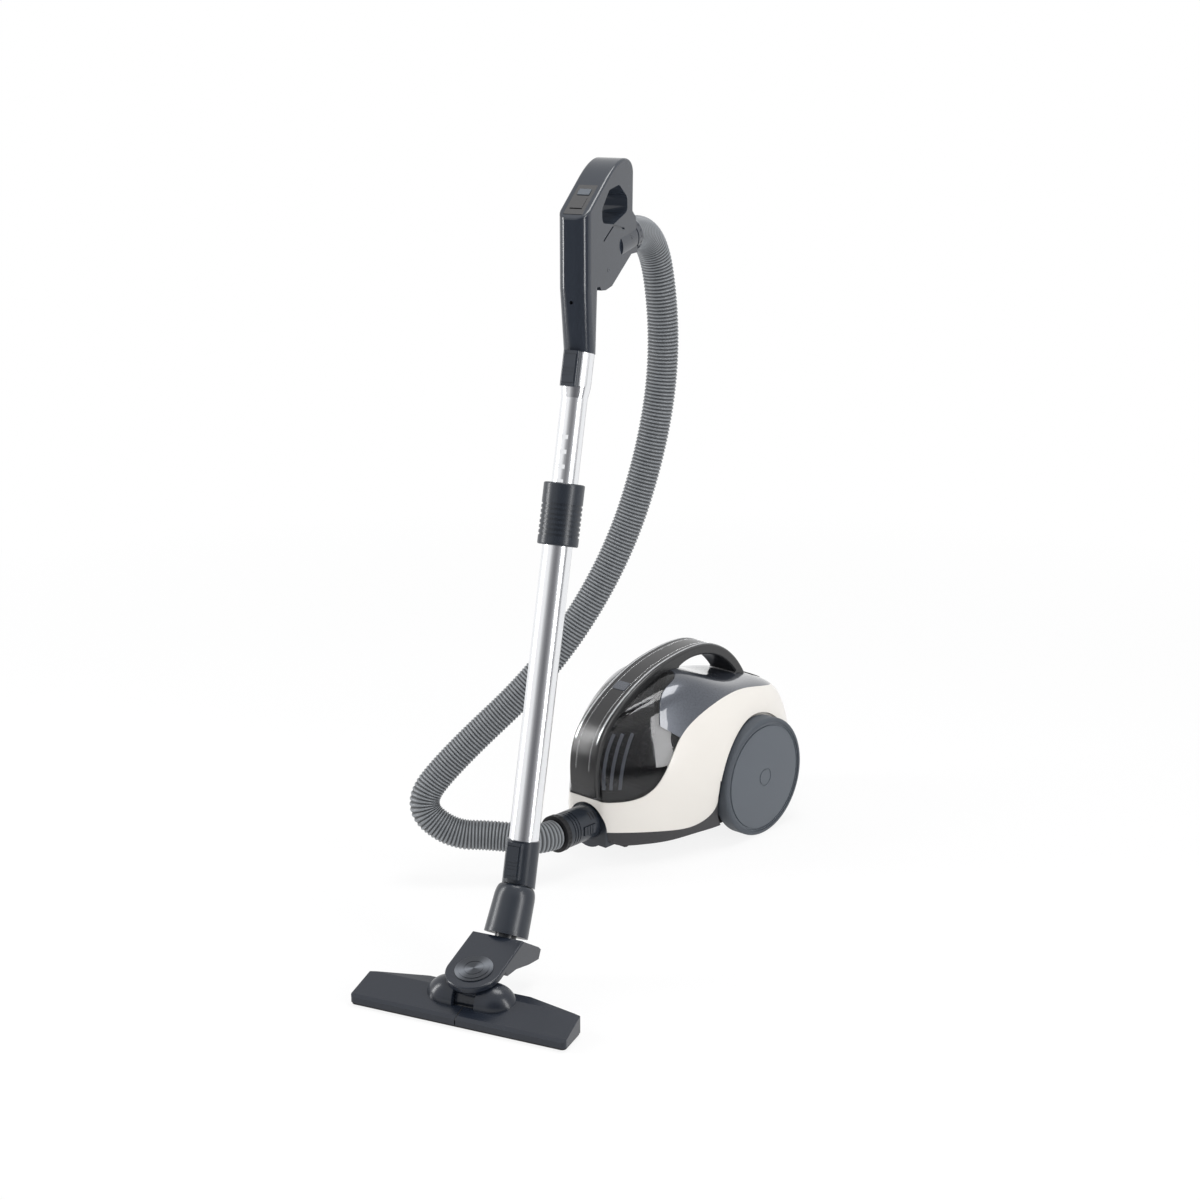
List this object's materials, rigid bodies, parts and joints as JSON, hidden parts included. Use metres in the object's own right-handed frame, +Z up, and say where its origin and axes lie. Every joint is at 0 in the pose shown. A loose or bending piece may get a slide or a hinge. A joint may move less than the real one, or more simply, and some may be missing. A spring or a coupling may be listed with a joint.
{
  "type": "canister vacuum cleaner",
  "caption": "Canister vacuum cleaner with a smoked lift-out dust bin, large rear wheels, ribbed hose, telescopic wand and tilting floor head.",
  "frame": {"origin": "on the floor, at the centre of the footprint of everything but the hose", "axes": "+Z up; the canister's front and the hose inlet face -Y; +X is to the left of the canister's front, seen from the front it faces"},
  "size_m": [0.4867, 0.8751, 0.9435],
  "materials": {
    "dark_plastic": "fine matt grain",
    "pale_plastic": "smooth satin gloss",
    "grey_gloss": "metallic grey gloss",
    "black_plastic": "matt black",
    "steel": "brushed",
    "smoked": "clear smoked, polished",
    "grey_plastic": "satin grain",
    "bright_trim": "bright",
    "mid_plastic": "satin grain",
    "filter_pad": "felted",
    "alloy": "turned",
    "rubber": "matt",
    "tyre": "matt",
    "wheel_grey": "satin metallic grey",
    "spun_metal": "spun rings",
    "tube_chrome": "polished",
    "handle_plastic": "satin metallic grey",
    "black_gloss": "glossy black",
    "hose_grey": "satin ribbed"
  },
  "bodies": {
    "canister": {"lower_base": "dark_plastic", "body_shell": "pale_plastic", "top_deck": "grey_gloss", "base_screws": "steel", "bin_cradle": "dark_plastic", "inlet_socket": "dark_plastic", "hose_cuff": "mid_plastic", "hose": "hose_grey", "pre_filter": "filter_pad", "motor_case": "steel", "reel_plate": "dark_plastic", "exhaust_filter": "filter_pad", "exhaust_grille": "black_plastic", "cord_outlet": "rubber", "axle_pins": "steel", "outer_tube": "tube_chrome", "telescope_bush": "black_plastic", "nozzle_socket": "mid_plastic"},
    "wheel_left": {"tyre_left": "tyre", "wheel_disc_left": "wheel_grey"},
    "wheel_right": {"tyre_right": "tyre", "wheel_disc_right": "wheel_grey"},
    "caster": {"caster_fork": "black_plastic", "caster_pin": "steel"},
    "caster_roll": {"caster_wheel": "rubber"},
    "bin": {"dust_bin": "smoked", "bin_spine": "grey_plastic", "bin_trims": "bright_trim", "mesh_shroud": "steel"},
    "bin_release": {"bin_button": "grey_gloss"},
    "paddle": {"bin_paddle": "black_plastic"},
    "rewind": {"rewind_button": "black_plastic"},
    "cuff_left": {"cuff_button_left": "dark_plastic"},
    "cuff_right": {"cuff_button_right": "dark_plastic"},
    "ring": {"hose_ring": "black_plastic"},
    "fan": {"impeller": "alloy"},
    "reel": {"cord_reel": "black_plastic"},
    "handle": {"handle_left": "handle_plastic", "handle_right": "handle_plastic", "handle_duct": "black_plastic", "handle_screws": "steel", "control_panel": "black_gloss", "inner_tube": "tube_chrome", "handle_latch_frame": "mid_plastic"},
    "wand_latch": {"handle_latch": "dark_plastic"},
    "power": {"power_key": "bright_trim"},
    "speed": {"speed_key": "grey_gloss"},
    "end_collar": {"hose_end_collar": "black_plastic"},
    "collar": {"slide_collar": "mid_plastic"},
    "nozzle_release": {"nozzle_latch": "dark_plastic"},
    "neck": {"neck_sleeve": "mid_plastic", "joint_block": "dark_plastic", "joint_disc": "spun_metal"},
    "head": {"head_cover": "dark_plastic", "sole_plate": "black_plastic", "lint_pads": "filter_pad", "roller_pins": "steel", "pivot_pin": "steel"},
    "roller_left": {"head_roller_left": "rubber"},
    "roller_right": {"head_roller_right": "rubber"}
  },
  "joints": [
    {"name": "wheel_left_spin", "type": "hinge", "parent": "canister", "child": "wheel_left", "pos_m": [-0.2143, 0.302, 0.084], "axis": [1, 0, 0], "continuous": true},
    {"name": "wheel_right_spin", "type": "hinge", "parent": "canister", "child": "wheel_right", "pos_m": [-0.0143, 0.302, 0.084], "axis": [1, 0, 0], "continuous": true},
    {"name": "caster_swivel", "type": "hinge", "parent": "canister", "child": "caster", "pos_m": [-0.1143, 0.13, 0.034], "axis": [0, 0, 1], "continuous": true},
    {"name": "caster_spin", "type": "hinge", "parent": "caster", "child": "caster_roll", "pos_m": [-0.1143, 0.137, 0.011], "axis": [1, 0, 0], "continuous": true},
    {"name": "bin_lift", "type": "slide", "parent": "canister", "child": "bin", "axis": [0, -0.8499, 0.5269], "range_m": [0, 0.12]},
    {"name": "bin_button_press", "type": "slide", "parent": "bin", "child": "bin_release", "axis": [0, 0.452, -0.892], "range_m": [0, 0.0024], "stiffness_N_per_m": 400},
    {"name": "paddle_sweep", "type": "hinge", "parent": "bin", "child": "paddle", "pos_m": [-0.1143, 0.152, 0.15], "axis": [1, 0, 0], "range_deg": [-70, 70]},
    {"name": "rewind_press", "type": "slide", "parent": "canister", "child": "rewind", "axis": [0, 0, -1], "range_m": [0, 0.003], "stiffness_N_per_m": 400},
    {"name": "cuff_left_press", "type": "slide", "parent": "canister", "child": "cuff_left", "axis": [1, 0, 0], "range_m": [0, 0.0015], "stiffness_N_per_m": 400},
    {"name": "cuff_right_press", "type": "slide", "parent": "canister", "child": "cuff_right", "axis": [-1, 0, 0], "range_m": [0, 0.0015], "stiffness_N_per_m": 400},
    {"name": "hose_ring_turn", "type": "hinge", "parent": "canister", "child": "ring", "pos_m": [-0.1143, 0.002, 0.059], "axis": [0, -1, 0], "continuous": true},
    {"name": "fan_spin", "type": "hinge", "parent": "canister", "child": "fan", "pos_m": [-0.1143, 0.302, 0.092], "axis": [0, 1, 0], "continuous": true},
    {"name": "reel_spin", "type": "hinge", "parent": "canister", "child": "reel", "pos_m": [-0.1143, 0.322, 0.163], "axis": [0, 0, 1], "continuous": true},
    {"name": "wand_extend", "type": "slide", "parent": "canister", "child": "handle", "axis": [-0.0792, 0.2605, 0.9622], "range_m": [-0.09, 0.18], "deforming": ["hose"]},
    {"name": "wand_latch_press", "type": "slide", "parent": "handle", "child": "wand_latch", "axis": [-0.2797, 0.9207, -0.2723], "range_m": [0, 0.0018], "stiffness_N_per_m": 400},
    {"name": "power_press", "type": "slide", "parent": "handle", "child": "power", "axis": [-0.1653, 0.5441, -0.8226], "range_m": [0, 0.0014], "stiffness_N_per_m": 400},
    {"name": "speed_press", "type": "slide", "parent": "handle", "child": "speed", "axis": [-0.1653, 0.5441, -0.8226], "range_m": [0, 0.0014], "stiffness_N_per_m": 400},
    {"name": "end_collar_turn", "type": "hinge", "parent": "handle", "child": "end_collar", "pos_m": [-0.03286, 0.03781, 0.847], "axis": [-0.2879, 0.9475, 0.1392], "continuous": true},
    {"name": "collar_pull", "type": "slide", "parent": "canister", "child": "collar", "axis": [0.0792, -0.2605, -0.9622], "range_m": [0, 0.005], "stiffness_N_per_m": 400},
    {"name": "nozzle_latch_press", "type": "slide", "parent": "canister", "child": "nozzle_release", "axis": [-0.2797, 0.9207, -0.2723], "range_m": [0, 0.0018], "stiffness_N_per_m": 400},
    {"name": "neck_swivel", "type": "hinge", "parent": "canister", "child": "neck", "pos_m": [0.06249, -0.27603, 0.062], "axis": [-0.1497, 0.4928, 0.8572], "range_deg": [-45, 45]},
    {"name": "head_tilt", "type": "hinge", "parent": "neck", "child": "head", "pos_m": [0.08749, -0.35831, 0.018], "axis": [0.9568, 0.2907, 0], "range_deg": [-30, 14]},
    {"name": "roller_left_spin", "type": "hinge", "parent": "head", "child": "roller_left", "pos_m": [-0.00969, -0.3962, 0.006], "axis": [0.9568, 0.2907, 0], "continuous": true},
    {"name": "roller_right_spin", "type": "hinge", "parent": "head", "child": "roller_right", "pos_m": [0.18932, -0.33574, 0.006], "axis": [0.9568, 0.2907, 0], "continuous": true}
  ]
}
